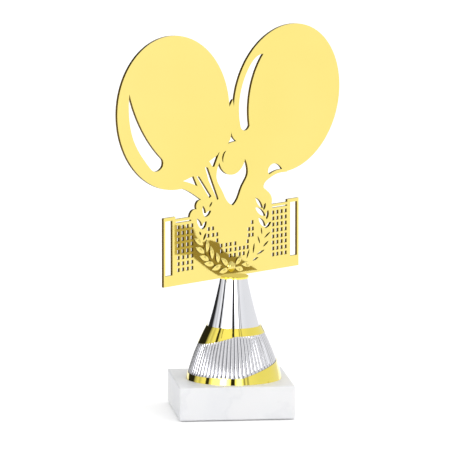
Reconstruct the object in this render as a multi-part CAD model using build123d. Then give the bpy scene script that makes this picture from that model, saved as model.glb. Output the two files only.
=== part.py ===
from build123d import *
import os
from math import atan2, cos, degrees, hypot, radians, sin

# Table-tennis figure trophy: a marble block, a chrome riser with two gold bands, and a flat
# gold figure on top, all clamped by one M6 rod. Millimetres. The origin is at the middle of
# the foam pad's underside, +Z is up and -Y is the block's front.

# Marble block and foam pad
pad_side = 64.0
pad_thickness = 0.6
pad_corner = 3.0
base_side = 70.0
base_height = 20.0
base_edge_round = 0.7
base_hole_radius = 3.5
recess_radius = 14.0
recess_depth = 9.0
base_top = pad_thickness + base_height

# The block is drilled a little off its middle: the rod and all it holds stand this far along +X
rod_offset = 1.7

# M6 clamping hardware
rod_radius = 2.95
thread_radius = 3.0
washer_radius = 9.0
washer_thickness = 1.6
nut_across_flats = 10.0
nut_thickness = 5.0
rod_below_nut = 1.0

# Riser: heights are above the marble, radii are of the outer skin
skirt_foot_radius = 29.3
skirt_mid = (25.1, 14.0)
collar_top_radius = 16.6
collar_top = 32.6
neck_foot_radius = 15.9
neck_mid = (11.95, 47.5)
neck_top_radius = 9.1
neck_top = 61.4
riser_wall = 2.2
spigot_length = 4.0
neck_cap = 2.5

# The two gold bands stand proud of the fluted band, and each has a level and a slanting edge
band_step = 0.4
foot_band_top = 3.8
collar_band_bottom = 28.2
foot_slant_height = 3.2
collar_slant_height = 28.5
slant_rise = 0.307
flute_count = 64
flute_radius = 0.9
flute_depth = 0.55

# Foot that holds the figure on the rod
foot_radius = 9.1
foot_disc = 1.4
foot_edge_round = 0.5
boss_radius = 5.45
boss_length = 16.0
boss_hole_radius = 5.5
thread_depth = 8.0
tab_half_width = 4.0
tab_length = 7.0

# Figure: a flat plate drawn with U to the right and V up from its bottom edge
figure_turn = 40.7
figure_bottom = base_top + neck_top + 1.15
figure_shift = -2.5
plate_thickness = 1.6

left_bat = (-51.0, 104.7, 49.6, 45.8)
right_bat = (49.4, 104.3, 48.6, 44.2)
bat_lean = 27.0

net_half_width = 60.0
net_height = 40.3
post_height = 41.9
post_width = 10.2
window_inner = 52.4
window_outer = 58.6
window_bottom = 6.6
window_top = 39.8

mesh_hole = (2.1, 2.3)
mesh_sides = {-1: (35.2, 4.0), 1: (36.9, 3.75)}
mesh_columns = 4
mesh_top = 35.1
mesh_rows = 8
mesh_row_pitch = 3.7
tape_slit = (36.0, 49.6, 38.3, 0.8)

ball_centre = (0.3, 74.1)
ball_radius = 12.0

# Wreath: the lower leaves are raised, and the upper ones are parted by slits right through
leaf_width = 3.1
leaf_height = 0.8
leaf_tip_height = 0.12
raised_leaves = [
    ((-3.4, 5.0), (-11.4, 3.7)),
    ((-9.4, 7.9), (-18.0, 6.1)),
    ((-15.8, 9.2), (-24.8, 10.7)),
    ((-20.4, 12.2), (-28.9, 15.7)),
    ((-24.2, 17.0), (-32.4, 21.3)),
    ((-25.6, 22.0), (-33.6, 26.9)),
    ((-3.6, 6.8), (-9.9, 12.4)),
    ((-12.3, 9.6), (-13.9, 16.2)),
    ((-17.6, 12.4), (-19.1, 20.8)),
    ((-22.4, 17.2), (-22.3, 25.0)),
    ((2.6, 5.0), (9.8, 3.1)),
    ((2.9, 6.9), (8.2, 11.4)),
    ((8.4, 6.4), (18.2, 5.4)),
]
wreath_slits = [
    ((-25.7, 46.0), (-23.4, 38.7), 2.6),
    ((-24.4, 39.0), (-18.4, 42.2), 2.6),
    ((-20.0, 44.4), (-17.4, 47.5), 1.3),
    ((-31.0, 38.8), (-26.0, 31.6), 3.0),
    ((-26.4, 31.6), (-22.4, 36.2), 2.8),
    ((-28.9, 30.6), (-27.2, 28.2), 1.4),
    ((-25.4, 24.8), (-22.8, 29.2), 1.7),
    ((21.0, 46.0), (27.7, 38.7), 2.8),
    ((30.1, 41.8), (28.3, 37.4), 2.0),
    ((21.0, 39.8), (30.0, 33.8), 3.4),
    ((32.5, 37.2), (31.0, 31.4), 2.4),
    ((23.8, 33.2), (30.2, 27.0), 3.2),
    ((35.2, 29.6), (29.4, 26.2), 2.2),
    ((26.1, 27.2), (26.9, 22.6), 1.1),
    ((28.8, 20.2), (34.5, 23.6), 1.1),
    ((23.0, 22.3), (25.1, 17.2), 1.2),
    ((27.6, 14.9), (33.0, 18.2), 1.2),
    ((20.0, 18.3), (18.9, 11.8), 1.4),
    ((15.5, 15.0), (13.1, 9.3), 1.3),
    ((22.0, 10.8), (29.5, 13.1), 1.2),
    ((18.4, 7.5), (23.8, 9.1), 1.2),
]
stem = [(-3.4, 5.9), (-15.6, 9.6), (-25.4, 20.6)]
stem_width = 1.1
stem_height = 0.5
berry_centre = (-0.5, 6.1)
berry_radius = 3.3
berry_rise = 2.1


def outline(start, *runs):
    """Closed face that looks up. Each run goes on from the last point: one point is straight,
    two make an arc and more make a smooth curve."""
    edges = []
    here = start
    for run in runs:
        points = [here, *run]
        if len(run) == 1:
            edges.append(Line(*points))
        elif len(run) == 2:
            edges.append(ThreePointArc(*points))
        else:
            edges.append(Spline(*points))
        here = run[-1]
    face = make_face(edges).face()
    return face if face.normal_at().Z > 0 else -face


def ring(outer, inner, bottom, height):
    """Plain tube on the rod's axis."""
    tube = Cylinder(outer, height) - Cylinder(inner, height)
    return Pos(0, 0, bottom + height / 2) * tube


def base_pad():
    sheet = extrude(RectangleRounded(pad_side, pad_side, pad_corner), pad_thickness)
    return sheet


def marble_base():
    block = Pos(0, 0, pad_thickness + base_height / 2) * Box(base_side, base_side, base_height)
    block = fillet(block.edges(), base_edge_round)
    hole = Pos(rod_offset, 0, base_top / 2) * Cylinder(base_hole_radius, base_top + 2)
    recess = Pos(rod_offset, 0, pad_thickness + recess_depth / 2) * Cylinder(recess_radius, recess_depth)
    return block - hole - recess


def washer_bottom():
    return pad_thickness + recess_depth - washer_thickness


def base_washer():
    return ring(washer_radius, thread_radius, washer_bottom(), washer_thickness)


def base_nut():
    section = RegularPolygon(nut_across_flats / 2, 6, major_radius=False) - Circle(thread_radius)
    return Pos(0, 0, washer_bottom() - nut_thickness) * extrude(section, nut_thickness)


def tie_rod():
    bottom = washer_bottom() - nut_thickness - rod_below_nut
    top = base_top + neck_top - boss_length + thread_depth - 0.5
    return Pos(0, 0, (bottom + top) / 2) * Cylinder(rod_radius, top - bottom)


def skirt_arc(inset):
    """Outer line of the skirt, moved in by inset, as an arc in the XZ plane."""
    return ThreePointArc(
        (skirt_foot_radius - inset, base_top),
        (skirt_mid[0] - inset, base_top + skirt_mid[1]),
        (collar_top_radius - inset, base_top + collar_top),
    )


def skirt_shell(inset):
    """Hollow bell between the marble and the collar's shoulder."""
    outer = skirt_arc(inset)
    inner = skirt_arc(riser_wall)
    sides = [Line(outer @ 1, inner @ 1), Line(outer @ 0, inner @ 0)]
    section = make_face([outer, inner, *sides])
    return revolve(Plane.XZ * section, Axis.Z)


def region_above(level, slant_height):
    """Space above both a level plane and one that rises towards +X."""
    size = 4 * base_side
    tilt = Plane(origin=(0, 0, slant_height), x_dir=(1, 0, slant_rise), z_dir=(-slant_rise, 0, 1))
    over_level = Pos(0, 0, level + size / 2) * Box(size, size, size)
    over_slant = tilt * Pos(0, 0, size / 2) * Box(size, size, size)
    return over_level & over_slant


def region_below(level, slant_height):
    """Space below both a level plane and one that rises towards +X."""
    size = 4 * base_side
    tilt = Plane(origin=(0, 0, slant_height), x_dir=(1, 0, slant_rise), z_dir=(-slant_rise, 0, 1))
    under_level = Pos(0, 0, level - size / 2) * Box(size, size, size)
    under_slant = tilt * Pos(0, 0, -size / 2) * Box(size, size, size)
    return under_level & under_slant


def above_foot_band():
    return region_above(base_top + foot_band_top, base_top + foot_slant_height)


def below_collar_band():
    return region_below(base_top + collar_band_bottom, base_top + collar_slant_height)


def foot_ring():
    return skirt_shell(0) - above_foot_band()


def gold_collar():
    return skirt_shell(0) - below_collar_band()


def fluted_skirt():
    """Chrome band between the gold ones, with rounded grooves all round."""
    band = skirt_shell(band_step) & above_foot_band() & below_collar_band()
    path = Plane.XZ * skirt_arc(band_step + flute_depth - flute_radius)
    start = Plane(origin=path @ 0, z_dir=path % 0)
    groove = sweep(start * Circle(flute_radius), path=path)
    turn = 360 / flute_count
    grooves = [Rot(0, 0, turn * (index + 0.5)) * groove for index in range(flute_count)]
    return band - grooves


def riser_neck():
    """Smooth chrome neck with a locating spigot below and a cap with a hole above."""
    top = base_top + neck_top
    foot = base_top + collar_top
    outer = ThreePointArc(
        (neck_foot_radius, foot), (neck_mid[0], base_top + neck_mid[1]), (neck_top_radius, top)
    )
    inner = ThreePointArc(
        (neck_foot_radius - riser_wall, foot),
        (neck_mid[0] - riser_wall, base_top + neck_mid[1]),
        (neck_top_radius - riser_wall, top - neck_cap),
    )
    spigot_outer = collar_top_radius - riser_wall - 0.05
    spigot_inner = neck_foot_radius - riser_wall - 1.2
    steps = Polyline(
        inner @ 0,
        (spigot_inner, foot),
        (spigot_inner, foot - spigot_length),
        (spigot_outer, foot - spigot_length),
        (spigot_outer, foot),
        outer @ 0,
    )
    cap = Polyline(outer @ 1, (boss_hole_radius, top), (boss_hole_radius, top - neck_cap), inner @ 1)
    return revolve(Plane.XZ * make_face([outer, cap, inner, steps]), Axis.Z)


def figure_plane():
    """Plane of the plate: its X runs along the plate, its Y is up and its Z faces the front.
    The net's middle stands figure_shift along the plate from the rod."""
    turn = radians(figure_turn)
    return Plane(
        origin=(figure_shift * cos(turn), figure_shift * sin(turn), figure_bottom),
        x_dir=(cos(turn), sin(turn), 0),
        z_dir=(sin(turn), -cos(turn), 0),
    )


def plate_solid(section, back, front):
    """Prism of a drawn section, between two distances in front of the plate's mid plane."""
    return figure_plane() * Pos(0, 0, back) * extrude(section, front - back)


def tab_section():
    """Tab below the net's lower edge, on the rod's axis."""
    return Pos(-figure_shift, -tab_length / 2) * Rectangle(2 * tab_half_width, tab_length)


def figure_foot():
    """Gold foot: a disc on the neck, a boss inside it, a slot for the plate and a blind thread."""
    disc_bottom = base_top + neck_top
    disc = Pos(0, 0, disc_bottom + foot_disc / 2) * Cylinder(foot_radius, foot_disc)
    disc = fillet(disc.edges().group_by(Axis.Z)[-1], foot_edge_round)
    boss = Pos(0, 0, disc_bottom - boss_length / 2) * Cylinder(boss_radius, boss_length)
    thread_bottom = disc_bottom - boss_length
    thread = Pos(0, 0, thread_bottom + thread_depth / 2) * Cylinder(thread_radius, thread_depth)
    slot = Pos(0, net_height / 2) * Rectangle(2 * net_half_width, net_height)
    half = plate_thickness / 2
    return disc + boss - thread - plate_solid(slot + tab_section(), -half, half)


def bat(sizes, lean):
    """Oval blade, given its centre and its two half sizes."""
    across, up, half_length, half_width = sizes
    return Pos(across, up) * Rot(0, 0, lean) * Ellipse(half_length, half_width)


def body_section():
    """Web that joins the bats' handles, the ball and the net."""
    return outline(
        (0.9, 108.0),
        [(-5.0, 100.0)],
        [(-8.0, 90.0)],
        [(-30.0, 66.0)],
        [(-50.0, 58.9)],
        [(-45.0, 58.5), (-39.5, 56.6), (-34.5, 54.1), (-27.0, 49.6)],
        [(-30.8, 48.4), (-31.2, 44.4)],
        [(-35.0, 43.9), (-37.2, net_height)],
        [(-37.2, 20.0)],
        [(35.4, 20.0)],
        [(35.4, net_height)],
        [(35.1, 45.6), (31.6, 49.0), (28.4, 51.2)],
        [(28.6, 53.0), (33.3, 56.4), (39.0, 58.4), (45.0, 59.0)],
        [(50.0, 58.9)],
        [(30.0, 66.0)],
        [(4.0, 92.0)],
        [(0.9, 108.0)],
    )


def net_section():
    """Net between two posts, before its mesh is cut."""
    band = Pos(0, net_height / 2) * Rectangle(2 * net_half_width, net_height)
    post_middle = net_half_width - post_width / 2
    posts = [Pos(side * post_middle, post_height / 2) * Rectangle(post_width, post_height)
             for side in (-1, 1)]
    return band + posts + tab_section()


def net_holes():
    """Post windows, tape slits and the square mesh."""
    holes = []
    for side in (-1, 1):
        middle = side * (window_inner + window_outer) / 2
        height = window_top - window_bottom
        window = Rectangle(window_outer - window_inner, height)
        holes.append(Pos(middle, window_bottom + height / 2) * window)
        inner, outer, level, width = tape_slit
        holes.append(Pos(side * (inner + outer) / 2, level) * Rectangle(outer - inner, width))
        first, pitch = mesh_sides[side]
        for column in range(mesh_columns):
            for row in range(mesh_rows):
                place = (side * (first + column * pitch), mesh_top - row * mesh_row_pitch)
                holes.append(Pos(*place) * Rectangle(*mesh_hole))
    return holes


def inner_mesh_holes():
    """Mesh that shows inside the wreath: short rows that follow its curve."""
    rows = {
        31.2: (-20.6, -16.9, 18.2),
        27.2: (-21.0, -16.8, -13.2, 15.2, 18.5),
        23.5: (-13.1, 15.2, 18.4),
        19.9: (-9.4, -5.1, -1.4, 2.9, 14.1),
        16.4: (-9.3, -5.1, -1.4, 3.0, 6.8, 10.5, 13.9),
        12.9: (-1.5, 2.4, 6.8, 10.4),
    }
    return [Pos(u, v) * Rectangle(*mesh_hole) for v, line in rows.items() for u in line]


def highlight_cuts():
    """Curved cuts that stand for the gleam on each bat and on the ball."""
    left = outline(
        (-89.4, 119.6),
        [(-89.9, 108.7), (-86.1, 92.0), (-78.2, 80.3), (-70.7, 72.4)],
        [(-65.4, 70.9), (-61.0, 73.2)],
        [(-60.3, 75.7), (-61.6, 78.2)],
        [(-70.2, 86.4), (-79.3, 98.2), (-86.6, 112.0), (-89.4, 119.6)],
    )
    right = outline(
        (28.2, 133.3),
        [(22.5, 132.2), (13.3, 123.3), (7.9, 112.0), (6.3, 100.3), (7.9, 90.2)],
        [(11.0, 88.0), (15.7, 90.7)],
        [(14.9, 100.3), (17.2, 114.5), (23.7, 127.8), (28.2, 133.3)],
    )
    gleam = outline((-4.9, 77.4), [(-8.5, 74.4), (-7.6, 70.2)], [(-7.3, 74.0), (-4.9, 77.4)])
    return [left, right, gleam]


def handle_cuts():
    """Slits and gaps between the bats' handles, the ball and the bodies of the bats."""
    triangle = outline((-43.0, 62.7), [(-33.9, 64.8)], [(-30.4, 58.3)], [(-36.0, 60.6), (-43.0, 62.7)])
    bean = outline(
        (32.3, 60.2),
        [(33.4, 63.4), (37.3, 65.1), (42.0, 63.9), (45.0, 61.0)],
        [(39.0, 60.6), (33.6, 58.9)],
        [(32.3, 60.2)],
    )
    long_slot = outline((-31.2, 64.5), [(-28.7, 63.9)], [(-18.2, 51.0)], [(-19.9, 50.0)], [(-31.2, 64.5)])
    steep_slot = outline((-23.8, 69.3), [(-21.2, 68.7)], [(-11.8, 48.7)], [(-12.9, 48.0)],
                         [(-20.6, 60.6)], [(-23.8, 69.3)])
    wedge = outline((-20.0, 72.4), [(-13.2, 75.2)], [(-10.8, 77.4)], [(-15.6, 68.6)],
                    [(-17.2, 68.8)], [(-20.0, 72.4)])
    above_ball = outline((-0.7, 88.6), [(1.0, 84.8), (3.9, 82.3)], [(0.2, 82.0), (-3.5, 81.4)],
                         [(-1.2, 84.6), (-0.7, 88.6)])
    return [triangle, bean, long_slot, steep_slot, wedge, above_ball]


def heart_cut():
    """Heart-shaped opening under the ball, whose upper edge is the ball's own outline."""
    heart = outline(
        (0.9, 43.4),
        [(-3.9, 46.2), (-9.0, 53.8), (-13.5, 61.3), (-12.6, 67.8), (-10.6, 71.6)],
        [(11.2, 71.6)],
        [(13.2, 67.8), (14.0, 61.3), (9.2, 54.4), (4.6, 46.4), (0.9, 43.4)],
    )
    return heart - Pos(*ball_centre) * Circle(ball_radius)


def leaf(length, width):
    """Pointed leaf lying along +X from the origin."""
    half = width / 2
    return outline((0, 0), [(length / 2, half), (length, 0)], [(length / 2, -half), (0, 0)])


def laid_out(root, tip):
    """Place at root, heading for tip, and the distance between them."""
    across, up = tip[0] - root[0], tip[1] - root[1]
    return Pos(*root) * Rot(0, 0, degrees(atan2(up, across))), hypot(across, up)


def raised_leaf(root, tip):
    """Leaf that stands on the face: upright sides and a crown that falls towards both ends."""
    place, length = laid_out(root, tip)
    rise = leaf_height - leaf_tip_height
    crown_radius = ((length / 2) ** 2 + rise ** 2) / (2 * rise)
    crown = Pos(length / 2, 0, leaf_height - crown_radius) * Sphere(crown_radius)
    blank = Pos(0, 0, -leaf_height / 2) * extrude(leaf(length, leaf_width), 2 * leaf_height)
    return figure_plane() * Pos(0, 0, plate_thickness / 2) * place * (blank & crown)


def slit_cutter(root, tip, width):
    """Leaf-shaped prism right through the plate and everything on it."""
    place, length = laid_out(root, tip)
    reach = plate_thickness + leaf_height
    return plate_solid(place * leaf(length, width), -reach, reach)


def berry():
    """Shallow dome where the two branches meet."""
    ball = (berry_radius ** 2 + berry_rise ** 2) / (2 * berry_rise)
    dome = Pos(*berry_centre, berry_rise - ball) * Sphere(ball)
    slab = Pos(*berry_centre, berry_rise / 2) * Box(4 * berry_radius, 4 * berry_radius, berry_rise)
    return figure_plane() * Pos(0, 0, plate_thickness / 2) * (dome & slab)


def figure_plate():
    """Flat figure with all its cuts, and the wreath in low relief on its face."""
    half = plate_thickness / 2
    bats = [bat(left_bat, -bat_lean), bat(right_bat, bat_lean)]
    sheet = net_section() + body_section() + bats + Pos(*ball_centre) * Circle(ball_radius)
    cuts = [*net_holes(), *inner_mesh_holes(), *highlight_cuts(), *handle_cuts(), heart_cut()]
    plate = plate_solid(sheet - cuts, -half, half)
    leaves = [raised_leaf(root, tip) for root, tip in raised_leaves]
    stalk = plate_solid(trace(ThreePointArc(*stem), stem_width), 0, half + stem_height)
    slits = [slit_cutter(root, tip, width) for root, tip, width in wreath_slits]
    return (plate + leaves + stalk + berry()) - slits


block_pieces = {
    "base_pad": base_pad,
    "marble_base": marble_base,
}
rod_pieces = {
    "base_washer": base_washer,
    "base_nut": base_nut,
    "tie_rod": tie_rod,
    "foot_ring": foot_ring,
    "fluted_skirt": fluted_skirt,
    "gold_collar": gold_collar,
    "riser_neck": riser_neck,
    "figure_foot": figure_foot,
    "figure_plate": figure_plate,
}

os.makedirs("parts", exist_ok=True)
for name, make in block_pieces.items():
    export_step(make(), f"parts/{name}.step")
for name, make in rod_pieces.items():
    export_step(Pos(rod_offset, 0, 0) * make(), f"parts/{name}.step")
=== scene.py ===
from math import cos, pi, radians, sin

import bpy
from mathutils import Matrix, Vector


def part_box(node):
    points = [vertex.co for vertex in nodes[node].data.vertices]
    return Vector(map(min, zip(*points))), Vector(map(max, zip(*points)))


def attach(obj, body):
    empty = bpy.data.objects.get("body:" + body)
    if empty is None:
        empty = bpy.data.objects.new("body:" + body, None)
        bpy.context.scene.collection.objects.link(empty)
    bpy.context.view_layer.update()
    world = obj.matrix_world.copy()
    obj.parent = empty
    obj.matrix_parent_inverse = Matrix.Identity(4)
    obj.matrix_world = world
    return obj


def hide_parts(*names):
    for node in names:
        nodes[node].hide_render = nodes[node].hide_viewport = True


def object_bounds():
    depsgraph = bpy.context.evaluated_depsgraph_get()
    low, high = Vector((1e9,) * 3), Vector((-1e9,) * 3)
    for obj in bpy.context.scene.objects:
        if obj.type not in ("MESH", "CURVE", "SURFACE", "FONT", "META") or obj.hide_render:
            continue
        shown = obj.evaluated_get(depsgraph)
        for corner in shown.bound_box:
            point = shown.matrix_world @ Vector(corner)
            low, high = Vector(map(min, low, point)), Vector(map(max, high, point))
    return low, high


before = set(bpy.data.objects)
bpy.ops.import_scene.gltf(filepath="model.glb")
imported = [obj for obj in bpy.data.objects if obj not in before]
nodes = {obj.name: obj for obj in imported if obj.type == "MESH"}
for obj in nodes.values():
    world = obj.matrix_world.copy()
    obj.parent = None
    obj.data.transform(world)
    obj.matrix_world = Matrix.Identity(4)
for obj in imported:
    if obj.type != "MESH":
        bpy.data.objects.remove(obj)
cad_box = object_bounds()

# Places of a Mix node's colour sockets, which share their names with its other sockets
mix_first, mix_second, mix_result = 6, 7, 2

# Camera, as a stand-off from the point it looks at: a long lens, a little left and above
look_at = Vector((-0.0012, 0.0, 0.1118))
camera_turn = radians(-6.44)
camera_rise = radians(8.57)
camera_distance = 3.905
focal_length = 506.9
level_aim = Vector((-sin(camera_turn), cos(camera_turn), 0.0)) * cos(camera_rise)
camera_aim = level_aim - Vector((0.0, 0.0, sin(camera_rise)))

# Studio panorama: brightness against the angle round the trophy, in degrees. 0 is straight
# in front and negative angles are to its left. The dark gaps are the joints of a light tent.
panorama = [
    (-180, 1.0), (-174, 1.0), (-170, 0.02), (-119, 0.02), (-113, 0.50), (-104, 0.85),
    (-97, 0.60), (-90, 0.92), (-80, 1.0), (-78.5, 0.03), (-70.5, 0.03), (-68.5, 0.80),
    (-58, 1.0), (-24, 1.0), (-13.6, 0.95), (-13.0, 0.02), (-4.4, 0.02), (-3.8, 1.0), (13, 1.0),
    (17.5, 0.90), (19, 0.35), (21.5, 0.35), (23, 1.0), (26.0, 0.9), (27.0, 0.45), (30.5, 0.45),
    (32.0, 0.90), (60, 0.83), (147, 0.86), (151, 0.20), (163, 0.20), (167, 1.0),
]
# Low softboxes, which the foot ring mirrors: the light they add, as a share of lamp_peak
lamps = [
    (-64, 0.0), (-60, 0.15), (-42, 0.18), (-38, 1.0), (-27, 1.0), (-23, 0.35), (-17, 0.2),
    (-15, 0.0), (-2, 0.0), (2, 0.3), (12, 0.3), (16, 0.0),
]
lamp_peak = 8.0
lamp_top = 22.5  # degrees above the horizon
# Brightness against the angle above the horizon
overhead = [(-90, 1.0), (10, 1.0), (36, 1.0), (46, 1.08), (50, 1.0), (70, 0.75), (90, 0.70)]
# Plain light of the room, which all but the reflections see: its middle level, and how much
# it gains towards the right and the front
room_light = 1.2
room_right = 0.36
room_front = 0.10

# Riser's bands, in metres above the marble: its outer line, and the edges of the reeded band
skirt_points = [(0.0293, 0.0), (0.0251, 0.014), (0.0166, 0.0326)]
band_step = 0.0004
foot_level, foot_lift = 0.0038, 0.0032
collar_level, collar_lift = 0.0282, 0.0285
slant_rise = 0.307
reed_count = 64
reed_depth = 0.0011
reed_share = 0.97  # how much of a full half circle each reed's section is
reed_end_depth = 0.2  # share of the depth left at the band's two edges
reed_rows, reed_steps = 24, 12
slant_rounds = 12

# The figure's plane, which mirrors the studio on its right, and two cards that show in it:
# outlines in millimetres on the plate's face, from the middle of its bottom edge
figure_turn = radians(40.7)
figure_shift = -0.0025
figure_lift = 0.00115
plate_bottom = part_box("riser_neck")[1][2] + figure_lift
card_distance = 0.3
shade_outline = [
    (-36, 32), (-35, 34), (-33, 29), (-28, 24), (-20, 24.5), (-12, 22), (-9, 17), (-3, 13.5),
    (4, 11.5), (9, 9), (16, 5), (22, 1.6), (10, 1.9), (0, 1.6), (-9, 1.2), (-13, 2.0),
    (-20, 5.8), (-28, 11), (-33.5, 14.5), (-36, 17),
]
shade_colour = (0.36, 0.29, 0.12)
soft_shade_outline = [(-51, 37), (-35, 34), (-36, 32), (-36, 17), (-51, 19)]
soft_shade_colour = (0.60, 0.52, 0.24)
rod_axis = (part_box("tie_rod")[0][0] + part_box("tie_rod")[1][0]) / 2


def add_camera():
    """Long lens that looks at look_at along camera_aim."""
    lens = bpy.data.cameras.new("camera")
    lens.lens = focal_length
    lens.sensor_width = 36.0
    lens.clip_end = 100.0
    camera = bpy.data.objects.new("camera", lens)
    camera.location = look_at - camera_aim * camera_distance
    camera.rotation_euler = camera_aim.to_track_quat("-Z", "Y").to_euler()
    bpy.context.scene.collection.objects.link(camera)
    bpy.context.scene.camera = camera


def node(tree, kind, **values):
    """New shader node. Each value is a property, or the default of the input with that name."""
    made = tree.nodes.new(kind)
    for name, value in values.items():
        if hasattr(made, name):
            setattr(made, name, value)
        else:
            made.inputs[name.replace("_", " ")].default_value = value
    return made


def ramp(tree, stops, source):
    """Colour ramp of grey or coloured stops, fed from a socket."""
    made = tree.nodes.new("ShaderNodeValToRGB")
    elements = made.color_ramp.elements
    while len(elements) < len(stops):
        elements.new(0.5)
    for element, (place, value) in zip(elements, stops):
        element.position = place
        colour = value if isinstance(value, tuple) else (value, value, value)
        element.color = (*colour, 1.0)
    tree.links.new(source, made.inputs["Fac"])
    return made.outputs["Color"]


def calc(tree, operation, *values):
    """Math node. Each value is a number or a socket."""
    made = node(tree, "ShaderNodeMath", operation=operation)
    for socket, value in zip(made.inputs, values):
        if isinstance(value, (int, float)):
            socket.default_value = value
        else:
            tree.links.new(value, socket)
    return made.outputs[0]


def by_angle(tree, stops, angle, lowest, highest):
    """Grey that follows stops given in degrees, from an angle in radians."""
    span = highest - lowest
    place = calc(tree, "MULTIPLY_ADD", angle, 1 / radians(span), -lowest / span)
    return ramp(tree, [((at - lowest) / span, level) for at, level in stops], place)


def add_world():
    """White surroundings. Reflections see the studio, and all else a plain soft light."""
    world = bpy.data.worlds.new("studio")
    bpy.context.scene.world = world
    world.use_nodes = True
    tree = world.node_tree
    tree.nodes.clear()
    place = node(tree, "ShaderNodeTexCoord")
    split = node(tree, "ShaderNodeSeparateXYZ")
    tree.links.new(place.outputs["Generated"], split.inputs[0])
    right, back, up = split.outputs
    front = calc(tree, "MULTIPLY", back, -1.0)
    turn = calc(tree, "ARCTAN2", right, front)
    rise = calc(tree, "ARCSINE", up)
    walls = by_angle(tree, panorama, turn, -180, 180)
    tent = calc(tree, "MULTIPLY", walls, by_angle(tree, overhead, rise, -90, 90))
    low = calc(tree, "LESS_THAN", rise, radians(lamp_top))
    lamp = calc(tree, "MULTIPLY", by_angle(tree, lamps, turn, -180, 180), low)
    level = calc(tree, "MULTIPLY_ADD", lamp, lamp_peak, tent)
    studio = node(tree, "ShaderNodeBackground", Color=(1, 1, 1, 1))
    tree.links.new(level, studio.inputs["Strength"])
    side = calc(tree, "MULTIPLY_ADD", right, room_right, room_light)
    soft = calc(tree, "MULTIPLY_ADD", front, room_front, side)
    room = node(tree, "ShaderNodeBackground", Color=(1, 1, 1, 1))
    tree.links.new(soft, room.inputs["Strength"])
    path = node(tree, "ShaderNodeLightPath")
    pick = node(tree, "ShaderNodeMixShader")
    tree.links.new(path.outputs["Is Glossy Ray"], pick.inputs["Fac"])
    tree.links.new(room.outputs[0], pick.inputs[1])
    tree.links.new(studio.outputs[0], pick.inputs[2])
    out = node(tree, "ShaderNodeOutputWorld")
    tree.links.new(pick.outputs[0], out.inputs["Surface"])


def area_light(name, place, aim, size, power):
    """Rectangular softbox that lights the set but shows in nothing."""
    light = bpy.data.lights.new(name, "AREA")
    light.shape = "RECTANGLE"
    light.size, light.size_y = size
    light.energy = power
    lamp = bpy.data.objects.new(name, light)
    lamp.location = place
    lamp.rotation_euler = (Vector(aim) - Vector(place)).to_track_quat("-Z", "Y").to_euler()
    lamp.visible_glossy = False
    lamp.visible_camera = False
    bpy.context.scene.collection.objects.link(lamp)


def new_material(name):
    material = bpy.data.materials.new(name)
    material.use_nodes = True
    tree = material.node_tree
    return material, tree, tree.nodes["Principled BSDF"]


def noise(tree, scale, detail=4.0, roughness=0.55, stretch=None):
    """Noise over the object's own coordinates, in metres; stretch scales each axis."""
    place = node(tree, "ShaderNodeTexCoord")
    source = place.outputs["Object"]
    if stretch:
        mapping = node(tree, "ShaderNodeMapping", Scale=stretch)
        tree.links.new(source, mapping.inputs["Vector"])
        source = mapping.outputs["Vector"]
    made = node(tree, "ShaderNodeTexNoise", Scale=scale, Detail=detail, Roughness=roughness)
    tree.links.new(source, made.inputs["Vector"])
    return made.outputs["Fac"]


def blend(tree, share, source, colour):
    """Colour of a socket, giving way to one even colour as share goes from 0 to 1."""
    mix = node(tree, "ShaderNodeMix", data_type="RGBA")
    tree.links.new(share, mix.inputs["Factor"])
    tree.links.new(source, mix.inputs[mix_first])
    mix.inputs[mix_second].default_value = (*colour, 1.0)
    return mix.outputs[mix_result]


def add_bump(tree, shader, height, strength, distance):
    bump = node(tree, "ShaderNodeBump", Strength=strength, Distance=distance)
    tree.links.new(height, bump.inputs["Height"])
    tree.links.new(bump.outputs["Normal"], shader.inputs["Normal"])


def mirror_metal(name, light, dark, lacquer):
    """Plated metal: two close tints, a faint ripple, and a clear lacquer over the gold."""
    material, tree, shader = new_material(name)
    shader.inputs["Metallic"].default_value = 1.0
    tint = ramp(tree, [(0.35, dark), (0.65, light)], noise(tree, 22.0, 3.0))
    tree.links.new(tint, shader.inputs["Base Color"])
    gloss = ramp(tree, [(0.3, 0.02), (0.75, 0.06)], noise(tree, 160.0, 5.0))
    tree.links.new(gloss, shader.inputs["Roughness"])
    shader.inputs["Coat Weight"].default_value = lacquer
    add_bump(tree, shader, noise(tree, 90.0, 2.0), 0.02, 0.001)
    return material


def facing_plate(tree):
    """How squarely a surface faces along the plate's normal, from 0 to 1."""
    place = node(tree, "ShaderNodeNewGeometry")
    across = node(tree, "ShaderNodeVectorMath", operation="DOT_PRODUCT")
    tree.links.new(place.outputs["True Normal"], across.inputs[0])
    across.inputs[1].default_value = (sin(figure_turn), -cos(figure_turn), 0.0)
    return calc(tree, "ABSOLUTE", across.outputs["Value"])


def cut_plate_gold():
    """Gold of the figure: mirror faces, and narrow cut edges that are duller, with painted shade
    darkening them.
    """
    material, tree, shader = new_material("plate_gold")
    shader.inputs["Metallic"].default_value = 1.0
    face = ramp(tree, [(0.35, (0.83, 0.69, 0.20)), (0.65, (0.86, 0.71, 0.225))], noise(tree, 9.0, 2.0))
    # Painted shade: faces turned away from the plate's face get a dark base colour. The same mask also
    # makes them rougher.
    dull_shaded_edge = ramp(tree, [(0.25, 1.0), (0.5, 0.0)], facing_plate(tree))
    tint = blend(tree, dull_shaded_edge, face, (0.115, 0.072, 0.014))
    tree.links.new(tint, shader.inputs["Base Color"])
    gloss = ramp(tree, [(0.3, 0.015), (0.75, 0.035)], noise(tree, 160.0, 5.0))
    rough = calc(tree, "MAXIMUM", gloss, calc(tree, "MULTIPLY", dull_shaded_edge, 0.38))
    tree.links.new(rough, shader.inputs["Roughness"])
    add_bump(tree, shader, noise(tree, 90.0, 2.0), 0.006, 0.001)
    return material


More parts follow.
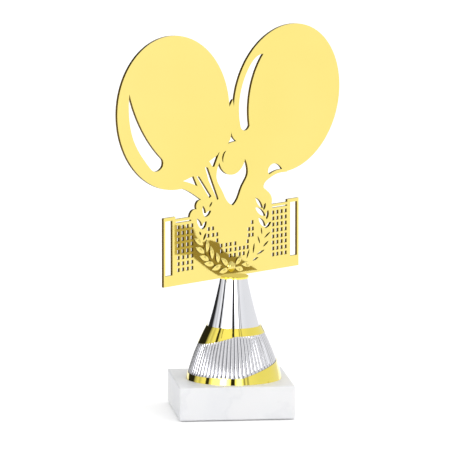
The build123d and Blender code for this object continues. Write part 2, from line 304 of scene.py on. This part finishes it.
def marble():
    """White marble: soft grey clouds and a few faint veins under a honed polish."""
    material, tree, shader = new_material("white_marble")
    clouds = noise(tree, 24.0, 4.0, 0.5)
    grain = noise(tree, 420.0, 3.0)
    veins = noise(tree, 15.0, 6.0, 0.6, (1.0, 1.6, 1.3))
    veins = calc(tree, "ABSOLUTE", calc(tree, "SUBTRACT", veins, 0.5))
    vein_mask = ramp(tree, [(0.0, 0.16), (0.03, 0.0)], veins)
    tints = [(0.30, (0.67, 0.68, 0.705)), (0.50, (0.72, 0.725, 0.74)), (0.72, (0.745, 0.745, 0.755))]
    veined = blend(tree, vein_mask, ramp(tree, tints, clouds), (0.52, 0.53, 0.57))
    tree.links.new(veined, shader.inputs["Base Color"])
    gloss = ramp(tree, [(0.3, 0.34), (0.7, 0.46)], grain)
    tree.links.new(gloss, shader.inputs["Roughness"])
    shader.inputs["Specular IOR Level"].default_value = 0.3
    add_bump(tree, shader, grain, 0.04, 0.0002)
    return material


def foam():
    """Closed-cell white foam: fine pores in colour and height."""
    material, tree, shader = new_material("white_foam")
    pores = noise(tree, 1500.0, 6.0, 0.7)
    tint = ramp(tree, [(0.3, (0.70, 0.70, 0.69)), (0.6, (0.88, 0.88, 0.87))], pores)
    tree.links.new(tint, shader.inputs["Base Color"])
    shader.inputs["Roughness"].default_value = 0.9
    add_bump(tree, shader, pores, 0.5, 0.0003)
    return material


def zinc_steel():
    """Zinc-plated steel of the hidden hardware, streaked along its length."""
    material, tree, shader = new_material("zinc_steel")
    shader.inputs["Metallic"].default_value = 1.0
    streaks = noise(tree, 300.0, 4.0, 0.6, (1.0, 1.0, 6.0))
    tint = ramp(tree, [(0.3, (0.48, 0.48, 0.46)), (0.7, (0.68, 0.68, 0.65))], streaks)
    tree.links.new(tint, shader.inputs["Base Color"])
    tree.links.new(ramp(tree, [(0.3, 0.28), (0.7, 0.45)], streaks), shader.inputs["Roughness"])
    add_bump(tree, shader, streaks, 0.15, 0.0002)
    return material


def paint(name, material):
    """Puts one material on a CAD node."""
    slots = nodes[name].data.materials
    slots.clear()
    slots.append(material)


def paint_nodes():
    plate_gold = cut_plate_gold()
    band_gold = mirror_metal("band_gold", (0.99, 0.84, 0.12), (0.97, 0.80, 0.10), 1.0)
    chrome = mirror_metal("chrome", (0.93, 0.93, 0.96), (0.88, 0.89, 0.93), 0.0)
    steel = zinc_steel()
    paint("figure_plate", plate_gold)
    paint("figure_foot", band_gold)
    paint("foot_ring", band_gold)
    paint("gold_collar", band_gold)
    paint("fluted_skirt", chrome)
    paint("riser_neck", chrome)
    paint("marble_base", marble())
    paint("base_pad", foam())
    for name in ("tie_rod", "base_nut", "base_washer"):
        paint(name, steel)


def mirrored_spot(along, height):
    """Point, card_distance to the trophy's right, that the camera sees mirrored at a place on
    the figure's face, in metres from the middle of its bottom edge."""
    across = Vector((cos(figure_turn), sin(figure_turn), 0.0))
    facing = Vector((sin(figure_turn), -cos(figure_turn), 0.0))
    start = Vector((rod_axis, 0.0, plate_bottom + height)) + across * (figure_shift + along)
    sight = (start - look_at + camera_aim * camera_distance).normalized()
    bounce = sight - 2 * sight.dot(facing) * facing
    return start + bounce * ((card_distance - start.x) / bounce.x)


def reflection_card(name, outline, colour):
    """Card beside the set, seen only in polished metal."""
    mesh = bpy.data.meshes.new(name)
    corners = [mirrored_spot(along / 1000, height / 1000) for along, height in outline]
    mesh.from_pydata(corners, [], [list(range(len(corners)))])
    card = bpy.data.objects.new(name, mesh)
    bpy.context.scene.collection.objects.link(card)
    material = bpy.data.materials.new(name)
    material.use_nodes = True
    tree = material.node_tree
    tree.nodes.clear()
    glow = node(tree, "ShaderNodeEmission", Color=(*colour, 1.0))
    out = node(tree, "ShaderNodeOutputMaterial")
    tree.links.new(glow.outputs[0], out.inputs["Surface"])
    mesh.materials.append(material)
    card.visible_camera = False
    card.visible_diffuse = False
    card.visible_shadow = False


def add_cards():
    """Cards that shade the lower left of the figure: a dark one, and a paler one beside it."""
    reflection_card("shade_card", shade_outline, shade_colour)
    reflection_card("soft_shade_card", soft_shade_outline, soft_shade_colour)


def bell_arc():
    """Centre radius, centre height and radius of the riser's outer arc, through three of its
    points: its foot, a point half way up the bands and its shoulder."""
    (ax, ay), (bx, by), (cx, cy) = skirt_points
    twice = 2 * (ax * (by - cy) + bx * (cy - ay) + cx * (ay - by))
    sums = [x * x + y * y for x, y in skirt_points]
    centre_x = (sums[0] * (by - cy) + sums[1] * (cy - ay) + sums[2] * (ay - by)) / twice
    centre_y = (sums[0] * (cx - bx) + sums[1] * (ax - cx) + sums[2] * (bx - ax)) / twice
    return centre_x, centre_y, ((ax - centre_x) ** 2 + (ay - centre_y) ** 2) ** 0.5


def bell_radius(height):
    """Radius of the riser's outer arc at a height above the marble."""
    centre_x, centre_y, radius = bell_arc()
    return centre_x + (radius ** 2 - (height - centre_y) ** 2) ** 0.5


def slant(height, level, lift, turn, upper):
    """Height of a band's edge at a turn round the axis: a level cut meets a slanting one."""
    for _ in range(slant_rounds):
        sloping = lift + slant_rise * bell_radius(height) * cos(turn)
        height = max(level, sloping) if upper else min(level, sloping)
    return height


def reeded_band():
    """Chrome band of the riser as close-set rounded reeds that narrow towards the top."""
    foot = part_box("marble_base")[1][2]
    mesh = bpy.data.meshes.new("reeded_band")
    rings = []
    columns = reed_count * reed_steps
    for row in range(reed_rows + 1):
        ring = []
        for column in range(columns):
            turn = 2 * pi * column / columns
            low = slant(foot_level, foot_level, foot_lift, turn, True)
            high = slant(collar_level, collar_level, collar_lift, turn, False)
            height = low + (high - low) * row / reed_rows
            outer = bell_radius(height) - band_step
            across = 2 * (column % reed_steps) / reed_steps - 1
            hollow = 1 - (1 - (reed_share * across) ** 2) ** 0.5
            share = 1.0 if 0 < row < reed_rows else reed_end_depth
            depth = share * reed_depth * outer / skirt_points[0][0] * hollow
            ring.append(((outer - depth) * cos(turn), (outer - depth) * sin(turn), foot + height))
        rings.append(ring)
    corners = [corner for ring in rings for corner in ring]
    faces = []
    for row in range(reed_rows):
        for column in range(columns):
            following = (column + 1) % columns
            below, above = row * columns, (row + 1) * columns
            faces.append((below + column, below + following, above + following, above + column))
    mesh.from_pydata(corners, [], faces)
    mesh.polygons.foreach_set("use_smooth", [True] * len(faces))
    mesh.set_sharp_from_angle(angle=radians(50))
    band = bpy.data.objects.new("reeded_band", mesh)
    bpy.context.scene.collection.objects.link(band)
    mesh.materials.append(reeded_chrome())
    band.location.x = rod_axis
    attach(band, "root")
    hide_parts("fluted_skirt")


def reeded_chrome():
    """Chrome with painted shade that makes it duller and darker down in the valleys between the reeds.
    """
    material, tree, shader = new_material("reeded_chrome")
    shader.inputs["Metallic"].default_value = 1.0
    place = node(tree, "ShaderNodeTexCoord")
    split = node(tree, "ShaderNodeSeparateXYZ")
    tree.links.new(place.outputs["Object"], split.inputs[0])
    # Painted shade: the base colour darkens from the middle of each reed towards the valleys between
    # them.
    turn = calc(tree, "ARCTAN2", split.outputs["Y"], split.outputs["X"])
    reed = calc(tree, "FRACT", calc(tree, "MULTIPLY", turn, reed_count / (2 * pi)))
    across = calc(tree, "ABSOLUTE", calc(tree, "SUBTRACT", reed, 0.5))
    tint = ramp(tree, [(0.30, (0.83, 0.83, 0.86)), (0.5, (0.33, 0.33, 0.36))], across)
    tree.links.new(tint, shader.inputs["Base Color"])
    gloss = ramp(tree, [(0.3, 0.05), (0.75, 0.12)], noise(tree, 160.0, 5.0))
    tree.links.new(gloss, shader.inputs["Roughness"])
    add_bump(tree, shader, noise(tree, 90.0, 2.0), 0.02, 0.001)
    return material


def add_floor():
    """Plain white floor that glows just enough to stay white under the trophy."""
    bpy.ops.mesh.primitive_plane_add(size=40.0, location=(0, 0, cad_box[0][2] - 0.0001))
    floor = bpy.context.object
    floor.name = "floor"
    material, tree, shader = new_material("floor_white")
    tint = ramp(tree, [(0.3, 0.935), (0.7, 0.955)], noise(tree, 3.0, 2.0))
    tree.links.new(tint, shader.inputs["Base Color"])
    shader.inputs["Emission Color"].default_value = (1.0, 1.0, 1.0, 1.0)
    shader.inputs["Emission Strength"].default_value = 0.06
    shader.inputs["Roughness"].default_value = 0.9
    shader.inputs["Specular IOR Level"].default_value = 0.1
    floor.data.materials.append(material)


add_camera()
add_world()
bpy.context.scene.view_settings.view_transform = "Standard"
area_light("front_fill", (0.5, -2.2, 1.2), (0, 0, 0.1), (1.6, 1.2), 2.0)
add_floor()
add_cards()
paint_nodes()
reeded_band()
